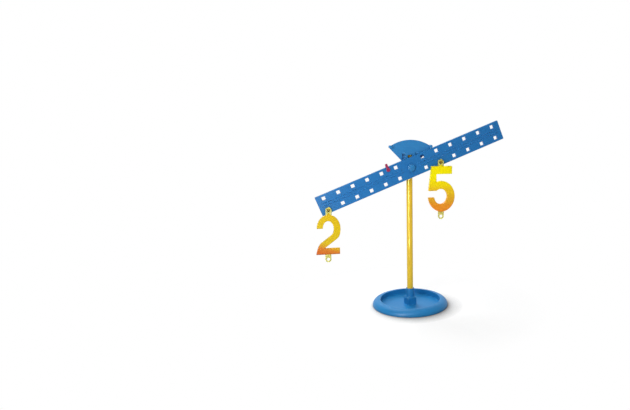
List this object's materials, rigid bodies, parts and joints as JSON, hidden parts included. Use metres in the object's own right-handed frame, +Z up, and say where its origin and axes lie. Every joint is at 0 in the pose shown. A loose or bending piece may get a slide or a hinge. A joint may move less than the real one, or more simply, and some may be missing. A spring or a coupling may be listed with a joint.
{
  "type": "math balance",
  "caption": "Toy math balance: a tilting holed beam on a post with a dish base, and flat numerals that hang from pegs in the holes.",
  "frame": {"origin": "middle of the base's underside, on the post's axis", "axes": "+Z up along the post, -Y towards the front with the numerals, +X to the right along the level beam"},
  "size_m": [0.3485, 0.144, 0.3481],
  "materials": {
    "pale_blue": "semi-gloss moulded",
    "blue": "semi-gloss moulded",
    "yellow": "glossy tube",
    "magenta": "semi-gloss moulded",
    "amber": "yellow that runs into orange-red"
  },
  "bodies": {
    "stand": {"base": "pale_blue", "post_tube": "yellow", "head_bracket": "blue", "dial_plate": "pale_blue", "pivot_pin": "pale_blue"},
    "beam_arm": {"beam": "blue", "hanger_peg_left": "yellow", "hanger_peg_right": "yellow"},
    "rider": {"tare_rider": "magenta"},
    "numeral_left": {"numeral_2": "amber"},
    "numeral_right": {"numeral_5": "amber"}
  },
  "joints": [
    {"name": "beam_tilt", "type": "hinge", "parent": "stand", "child": "beam_arm", "pos_m": [0, -0.0167, 0.2652], "axis": [0, 1, 0], "range_deg": [0, 43.25]},
    {"name": "rider_slide", "type": "slide", "parent": "beam_arm", "child": "rider", "axis": [-0.9296, 0, -0.3685], "range_m": [-0.008, 0.08]},
    {"name": "numeral_left_swing", "type": "hinge", "parent": "beam_arm", "child": "numeral_left", "pos_m": [-0.15041, -0.0228, 0.19417], "axis": [0, 1, 0], "range_deg": [-73, 30]},
    {"name": "numeral_right_swing", "type": "hinge", "parent": "beam_arm", "child": "numeral_right", "pos_m": [0.05411, -0.0228, 0.27525], "axis": [0, 1, 0], "range_deg": [-73, 30]}
  ]
}
